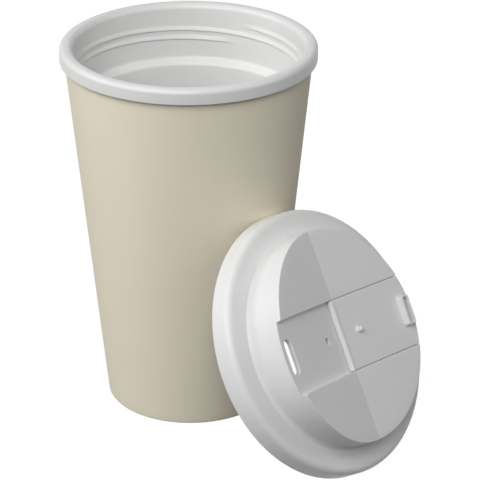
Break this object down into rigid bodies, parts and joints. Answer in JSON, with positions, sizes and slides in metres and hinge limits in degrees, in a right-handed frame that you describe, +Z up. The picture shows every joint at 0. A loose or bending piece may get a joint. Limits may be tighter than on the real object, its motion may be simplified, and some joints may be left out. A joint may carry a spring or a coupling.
{
  "type": "insulated travel cup",
  "caption": "Double-walled tapered drinking cup with a threaded mouth, its screw lid taken off and leaning on it; a hinged flap shuts the drinking slot.",
  "frame": {"origin": "centre of the cup's foot, on the surface that it stands on", "axes": "+Z up along the cup's axis; the lid leans on the cup's side towards +X and -Y"},
  "size_m": [0.1263, 0.1357, 0.1343],
  "materials": {
    "shell": "fine matte beige moulded plastic",
    "liner": "satin white moulded plastic",
    "lid": "satin white moulded plastic",
    "flap": "satin white moulded plastic",
    "seal": "translucent white silicone"
  },
  "bodies": {
    "cup": {"outer_shell": "shell", "inner_liner": "liner", "lid_body": "lid", "lid_seal": "seal"},
    "flap": {"drink_flap": "flap"}
  },
  "joints": [
    {"name": "flap_hinge", "type": "hinge", "parent": "cup", "child": "flap", "pos_m": [0.05144, -0.05455, 0.04748], "axis": [0.3212, -0.4126, -0.8524], "range_deg": [0, 166.2]}
  ]
}
